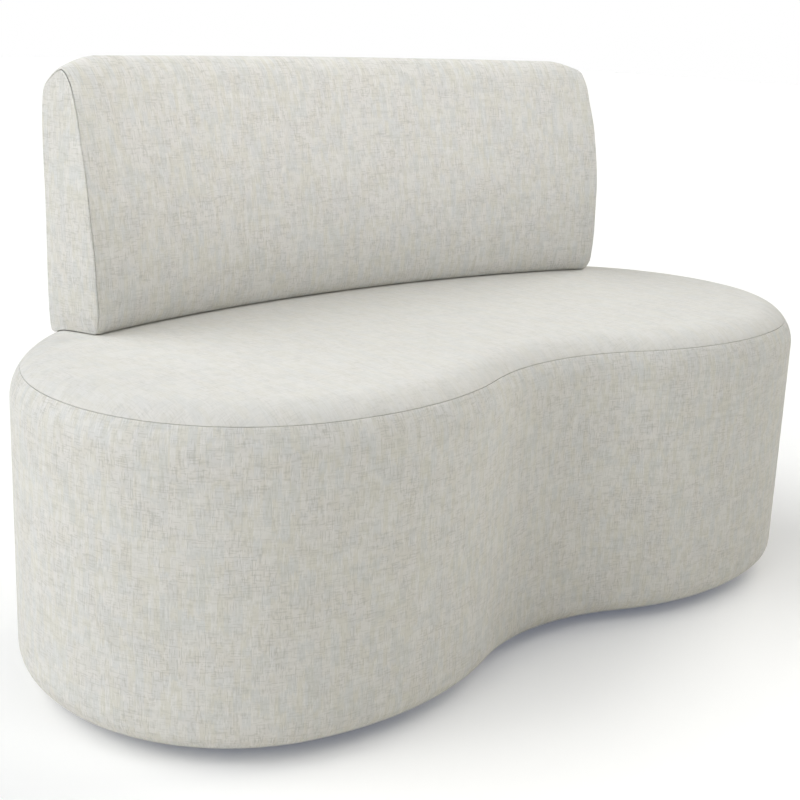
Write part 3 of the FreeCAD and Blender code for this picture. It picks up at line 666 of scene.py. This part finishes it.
def by_chance(thread, seed):
    """A number from 0 to 1 for each thread."""
    return thread.node("ShaderNodeTexWhiteNoise", {"noise_dimensions": "1D"}, {"W": thread + seed})


def streaks(first, second, seed):
    """Noise on two coordinates that are given one by one, so that it can be drawn out along the threads."""
    place = first.node("ShaderNodeCombineXYZ", {}, {"X": first, "Y": second, "Z": seed})
    return first.node("ShaderNodeTexNoise", {"noise_dimensions": "3D"},
                      {"Vector": place, "Scale": 1.0, "Detail": 2.0, "Roughness": 0.5})


def fine_grain(place):
    """The fibres of the yarn, finer than its threads."""
    fibres = place.node("ShaderNodeMapping", {}, {"Vector": place, "Scale": (1100, 1100, 1),
                                                  "Location": (31.0, 52.7, 0)})
    return place.node("ShaderNodeTexNoise", {"noise_dimensions": "2D"},
                      {"Vector": fibres, "Scale": 1.0, "Detail": 1, "Roughness": 0.55})


def slub_fabric(name, contrast):
    """The cloth, with its mottle at this contrast. Each pattern has its cells per metre and a seed."""
    cloth, shader, start = new_finish(name)
    place = start.node("ShaderNodeUVMap", {"uv_map": "weave"})
    across, up = along_axis(place, "X"), along_axis(place, "Y")
    warp, weft = bundle(across, threads_per_metre), bundle(up, threads_per_metre)
    upright_shift, level_shift = by_chance(warp, 0.5) * uneven, by_chance(weft, 9.5) * uneven
    upright_bar, level_bar, cool_bar = (bundle(way, per_metre) * bundle_apart for way, per_metre in
                                        ((across, 150.0), (up, 190.0), (across, 95.0)))
    bars_up = ramp(streaks(upright_bar, up * 22.0 + upright_shift, 1.0), 0.48, 0.55)
    bars_level = ramp(streaks(across * 22.0 + level_shift, level_bar, 5.0), 0.50, 0.57)
    cool_bars = ramp(streaks(cool_bar, up * 24.0 + upright_shift, 9.0), 0.50, 0.57)
    clusters = ramp(streaks(across * 24.0, up * 18.0, 13.0), 0.40, 0.62)
    warp_slubs = ramp(streaks(warp * thread_apart, up * 64.0, 17.0), 0.52, 0.64)
    weft_slubs = ramp(streaks(across * 64.0, weft * thread_apart, 23.0), 0.52, 0.64)
    light_slubs = ramp(streaks(warp * light_apart, up * 56.0, 29.0), 0.54, 0.66)
    grain = fine_grain(place)
    colour = blend_colour(bars_up * (0.42 * contrast), pale, beige)
    colour = blend_colour(cool_bars * (0.38 * contrast), colour, blue_grey)
    colour = blend_colour(bars_level * (0.12 * contrast), colour, grey_green)
    colour = blend_colour(clusters * (0.30 * contrast), colour, blush)
    colour = blend_colour(warp_slubs * (clusters * 0.18 + 0.20) * contrast, colour, grey_green)
    colour = blend_colour(weft_slubs * (clusters * 0.16 + 0.20) * contrast, colour, grey_green)
    colour = blend_colour(light_slubs * (0.40 * contrast), colour, bleached)
    connect(shader, "Base Color", blend_colour(grain * 0.25, colour, hollow))
    weave = ridges(across, 1 / threads_per_metre) * 0.5 + ridges(up, 1 / threads_per_metre) * 0.5
    slubs = warp_slubs * 0.5 + weft_slubs * 0.5 + light_slubs * 0.4
    emboss(shader, weave + slubs + grain * 0.5, strength=0.45, distance=0.0006)
    shader.inputs["Roughness"].default_value = 0.95
    shader.inputs["Specular IOR Level"].default_value = 0.2
    shader.inputs["Sheen Weight"].default_value = 0.08
    shader.inputs["Sheen Roughness"].default_value = 0.5
    return cloth


# The seat panel gets the calmer copy of the cloth, which is painted light for the glare on its brightly lit
# top.
side_cloth, seat_glare_cloth = slub_fabric("slub_weave", 1.0), slub_fabric("slub_weave_seat_glare", seat_glare_contrast)
for piece in bpy.context.scene.objects:
    if piece.get("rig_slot") == "cover_fabric":
        piece.data.materials.clear()
        piece.data.materials.append(seat_glare_cloth if piece == seat_panel else side_cloth)

# A black non-woven cloth is stapled flat under the base plate and hides the inside. It is cut out round the
# six glides, and shows only from below.
glide_places = ((0.300, -0.272), (0.545, -0.020), (0.210, 0.240))
dust_inset, dust_reach, dust_steps = 0.053, 0.200, 12       # the ring is spun this wide, and then filled
dust_hole, hole_sides, cutter_height = 0.013, 32, 0.02
dust_low, dust_high = (corner.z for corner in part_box("dust_cover"))
draw_profile([Vector((inset, dust_high)) for inset in spaced(dust_inset, dust_reach, dust_steps)])
sweep_outline()
bpy.ops.mesh.select_all(action="DESELECT")
bpy.ops.mesh.select_mode(type="EDGE")
bpy.ops.mesh.select_non_manifold()
bpy.ops.object.mode_set(mode="OBJECT")
dust_mesh = bpy.context.object.data
for edge in dust_mesh.edges:
    middle = sum((dust_mesh.vertices[index].co for index in edge.vertices), Vector()) / 2
    edge.select = edge.select and place_on_outline(middle.x, middle.y)[1] > dust_reach - ring_spacing
bpy.ops.object.mode_set(mode="EDIT")
bpy.ops.mesh.edge_face_add()
dust_cloth = finish_cover("dust_cloth")
thicken(dust_cloth, dust_high - dust_low, offset=0)
cutters = []
for x, y in glide_places:
    for side in (-1, 1):
        bpy.ops.mesh.primitive_cylinder_add(radius=dust_hole, depth=cutter_height, vertices=hole_sides,
                                            location=(side * x, y, dust_high))
        cutters.append(bpy.context.object)
pick(*cutters)
bpy.ops.object.join()
cutter = bpy.context.object
pick(dust_cloth)
bpy.ops.object.modifier_add(type="BOOLEAN")
dust_cloth.modifiers[-1].operation = "DIFFERENCE"
dust_cloth.modifiers[-1].object = cutter
bpy.ops.object.modifier_apply(modifier=dust_cloth.modifiers[-1].name)
pick(cutter)
bpy.ops.object.delete()
middle = sum(vertex.co.z for vertex in dust_cloth.data.vertices) / len(dust_cloth.data.vertices)
for vertex in dust_cloth.data.vertices:
    vertex.co.z += (dust_low + dust_high) / 2 - middle
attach(dust_cloth, "sofa")
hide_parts("dust_cover")
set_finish(dust_cloth, "dust_cloth")

# The panels, ribs and rails are raw birch plywood, sawn to shape, and the wall is plywood that bends. The
# faces show a fine grain, and the sawn edges show the layers, light and dark in turn.
layer_pair = 0.0028            # a light layer and a dark one together
thin_board = 0.03
face_grain = {"X": (60, 4, 160), "Y": (4, 60, 160), "Z": (4, 150, 60), "": (90, 90, 3)}


def drawn_noise(place, scales, detail=3.0):
    """Noise in three dimensions, with its own number of cells per metre along each axis."""
    stretched = place.node("ShaderNodeMapping", {}, {"Vector": place, "Scale": scales})
    return place.node("ShaderNodeTexNoise", {}, {"Vector": stretched, "Scale": 1.0, "Detail": detail})


def object_place(start):
    return start.node("ShaderNodeTexCoord", output="Object")


def plywood(name, thin):
    """Plywood that is thin along this axis, or along none of them where it is bent."""
    board, shader, start = new_finish(name)
    place = object_place(start)
    grain = drawn_noise(place, face_grain[thin])
    colour = blend_colour(ramp(grain, 0.35, 0.7), (0.66, 0.50, 0.32, 1), (0.52, 0.37, 0.21, 1))
    if thin:
        turned = start.node("ShaderNodeNewGeometry", output="True Normal")
        edge = ramp(1.0 - abs(along_axis(turned, thin)), 0.4, 0.6)
        depth = along_axis(place, thin)
        layers = depth.math("SINE", depth * (2 * math.pi / layer_pair)) * 0.5 + 0.5
        layer_colour = blend_colour(layers, (0.62, 0.46, 0.28, 1), (0.30, 0.19, 0.10, 1))
        colour = blend_colour(edge, colour, layer_colour)
    connect(shader, "Base Color", colour)
    connect(shader, "Roughness", grain * 0.25 + 0.55)
    emboss(shader, grain, strength=0.25, distance=0.0005)
    return board


boards = {axis: plywood("plywood_" + (axis.lower() or "bent"), axis) for axis in face_grain}


# The posts in the wall and the uprights that carry the back are raw planed beech. It has an upright grain
# with short dark flecks.
def hardwood():
    beech, shader, start = new_finish("beech")
    place = object_place(start)
    grain = drawn_noise(place, (120, 120, 6))
    flecks = ramp(drawn_noise(place, (700, 700, 90), 1.0), 0.62, 0.72)
    colour = blend_colour(ramp(grain, 0.3, 0.7), (0.58, 0.39, 0.24, 1), (0.47, 0.29, 0.16, 1))
    connect(shader, "Base Color", blend_colour(flecks * 0.6, colour, (0.30, 0.17, 0.09, 1)))
    connect(shader, "Roughness", grain * 0.2 + 0.5)
    emboss(shader, grain, strength=0.2, distance=0.0004)
    return beech


# The seat's foam lies on dark elastic webbing, stretched both ways over the openings in the deck. It is
# ribbed and a little fuzzy, and its colour is painted paler on top of the ribs and darker in the grooves:
# painted light and shade.
rib_spacing = 0.0022


def strap_weave():
    strap, shader, start = new_finish("webbing_weave")
    place = object_place(start)
    across, along = (ridges(along_axis(place, axis), rib_spacing) for axis in ("X", "Y"))
    fuzz = drawn_noise(place, (900, 900, 900), 2.0)
    # Painted light and shade: the colour is paler where both sets of ribs rise, and darker in the grooves
    # between them.
    colour = blend_colour(across * along, (0.012, 0.011, 0.010, 1), (0.045, 0.041, 0.036, 1))
    connect(shader, "Base Color", blend_colour(fuzz * 0.4, colour, (0.08, 0.075, 0.065, 1)))
    emboss(shader, across * 0.5 + along * 0.5 + fuzz * 0.3, strength=0.6, distance=0.0006)
    shader.inputs["Roughness"].default_value = 0.9
    return strap


# The dust cloth's felt is pressed from black fibres, which a fine grid of melted dots holds together.
# It has no weave, and a dull, slightly hairy face.
dots_per_metre = 420.0


def felted_black():
    felt, shader, start = new_finish("non_woven_black")
    place = object_place(start)
    dots = place.node("ShaderNodeTexVoronoi", {},
                      {"Vector": place, "Scale": dots_per_metre, "Randomness": 0.25})
    fibres = drawn_noise(place, (800, 300, 500))
    colour = blend_colour(ramp(dots, 0.15, 0.4), (0.004, 0.004, 0.005, 1), (0.014, 0.014, 0.016, 1))
    connect(shader, "Base Color", blend_colour(fibres * 0.4, colour, (0.03, 0.03, 0.033, 1)))
    emboss(shader, dots * 0.6 + fibres * 0.4, strength=0.5, distance=0.0004)
    shader.inputs["Roughness"].default_value = 0.92
    return felt


# The pads of the glides are moulded in black plastic. They are matt with a fine grain, and scuffed a little
# paler by the floor.
def moulded_black():
    plastic, shader, start = new_finish("moulded_black")
    place = object_place(start)
    grain = drawn_noise(place, (1500, 1500, 1500), 1.0)
    scuffs = ramp(drawn_noise(place, (60, 90, 200)), 0.6, 0.8)
    colour = blend_colour(scuffs * 0.4, (0.010, 0.010, 0.010, 1), (0.035, 0.035, 0.035, 1))
    connect(shader, "Base Color", colour)
    connect(shader, "Roughness", scuffs * 0.15 + 0.45)
    emboss(shader, grain, strength=0.2, distance=0.0002)
    return plastic


# Screws, bolts, washers, nuts, staples and the stems of the glides are steel, plated with bright zinc.
# They have fine turning marks and a slightly cloudy shine.
def zinc_plate():
    zinc, shader, start = new_finish("zinc_plate")
    place = object_place(start)
    clouds = drawn_noise(place, (120, 120, 120))
    marks = drawn_noise(place, (150, 150, 2500), 1.0)
    connect(shader, "Base Color", blend_colour(clouds, (0.50, 0.51, 0.50, 1), (0.66, 0.65, 0.60, 1)))
    connect(shader, "Roughness", clouds * 0.2 + 0.22)
    emboss(shader, marks, strength=0.15, distance=0.0002)
    shader.inputs["Metallic"].default_value = 1.0
    return zinc


finishes = {"hardwood": hardwood(), "webbing": strap_weave(), "dust_cloth": felted_black(),
            "glide_plastic": moulded_black(), "zinc_steel": zinc_plate()}
for row in frame["record"]["subparts"]:
    node, slot = row["node"], row["material_slot"]
    finish = finishes.get(slot)
    if slot == "plywood":
        low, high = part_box(node)
        sizes = list(high - low)
        finish = boards["XYZ"[sizes.index(min(sizes))] if min(sizes) < thin_board else ""]
    if finish:
        piece = dust_cloth if node == "dust_cover" else frame["nodes"][node]
        piece.data.materials.clear()
        piece.data.materials.append(finish)

# The floor is plain and pale. The camera sees it as white with the sofa's soft shadow, and from below it is
# clear, so that the underside shows.
floor_width = 40
floor_lift = 0.160             # light added where the floor is seen, which brings it up to white
bpy.ops.mesh.primitive_plane_add(size=floor_width, location=(0, 0, 0))
floor = bpy.context.object
floor.name = "floor"
ground, shader, start = new_finish("pale_floor")
shader.inputs["Base Color"].default_value = (0.94, 0.925, 0.88, 1)
shader.inputs["Roughness"].default_value = 1.0
shader.inputs["Specular IOR Level"].default_value = 0.0
seen, mirrored, looked_through = (start.node("ShaderNodeLightPath", output="Is " + kind + " Ray")
                                  for kind in ("Camera", "Glossy", "Transmission"))
seen = start.math("ADD", seen + mirrored, looked_through, clamp=True)
lift = start.node("ShaderNodeEmission", {}, {"Color": (0.70, 0.78, 1.0, 1), "Strength": seen * floor_lift})
above = start.node("ShaderNodeAddShader", {}, {0: Flow(ground, shader.outputs[0]), 1: lift})
behind = start.node("ShaderNodeNewGeometry", output="Backfacing")
clear = start.node("ShaderNodeBsdfTransparent")
both_faces = start.node("ShaderNodeMixShader", {}, {0: behind, 1: above, 2: clear})
connect(ground.node_tree.nodes["Material Output"], "Surface", both_faces)
floor.data.materials.append(ground)

# Plain studio light: a white surround that adds little, broad soft lamps high round the sofa, and two weak
# ones over the front, of which the strip lights the upper part of the back.
surround_light, surround_seen = 0.11, 1.0
broad_angle = 50
cool, warm, white = (0.965, 0.982, 1.0), (1.0, 0.985, 0.93), (1.0, 1.0, 1.0)
broad_lamps = (("left_lamp", (0.82, 0, -0.57), 1.22, cool), ("rear_left_lamp", (0.5, -0.5, -0.7), 1.55, cool),
               ("right_lamp", (-0.82, 0, -0.57), 1.48, warm), ("front_lamp", (0, 0.7, -0.7), 0.22, warm))
near_lamps = (("over_lamp", (-0.3, -1.1, 1.5), (0, 0.1, 0.6), (0.7, 0.7), 2.4, 180),
              ("strip_lamp", (-0.1, -1.2, 1.35), (0, 0.15, 0.74), (1.2, 0.2), 0.56, 34))
world = bpy.data.worlds.new("studio")
bpy.context.scene.world = world
world.use_nodes = True
surround = world.node_tree.nodes["Background"]
surround.inputs["Color"].default_value = white + (1,)
path = world.node_tree.nodes.new("ShaderNodeLightPath")
level = world.node_tree.nodes.new("ShaderNodeMapRange")
level.inputs["To Min"].default_value = surround_light
level.inputs["To Max"].default_value = surround_seen
world.node_tree.links.new(path.outputs["Is Camera Ray"], level.inputs["Value"])
world.node_tree.links.new(level.outputs["Result"], surround.inputs["Strength"])


def hang(lamp, place, aim):
    """Hangs a lamp at a place, turned to shine along the aim."""
    holder = bpy.data.objects.new(lamp.name, lamp)
    bpy.context.scene.collection.objects.link(holder)
    holder.matrix_world = Matrix.Translation(place) @ aim.to_track_quat("-Z", "Y").to_matrix().to_4x4()


for name, aim, strength, tint in broad_lamps:
    lamp = bpy.data.lights.new(name, "SUN")
    lamp.energy, lamp.angle, lamp.color = strength, math.radians(broad_angle), tint
    hang(lamp, (0, 0, 0), Vector(aim))
for name, place, target, size, power, spread in near_lamps:
    lamp = bpy.data.lights.new(name, "AREA")
    lamp.shape, lamp.energy, lamp.spread = "RECTANGLE", power, math.radians(spread)
    lamp.size, lamp.size_y = size
    hang(lamp, place, Vector(target) - Vector(place))

# The camera stands to the left in front of the sofa, a little above its back, and looks slightly down. Its
# place and angles were fitted to edges of the sofa.
eye = Vector((-1.405, -1.496, 0.856))
pitch, roll, yaw = 15.28, 2.26, 42.79
camera = bpy.data.objects.new("camera", bpy.data.cameras.new("camera"))
camera.data.lens, camera.data.sensor_width = 63.0, 36.0
camera.data.clip_start = 0.05
bpy.context.scene.collection.objects.link(camera)
camera.matrix_world = (Matrix.Translation(eye) @ Matrix.Rotation(math.radians(-yaw), 4, "Z")
                       @ Matrix.Rotation(math.radians(90 - pitch), 4, "X")
                       @ Matrix.Rotation(math.radians(roll), 4, "Z"))
bpy.context.scene.camera = camera
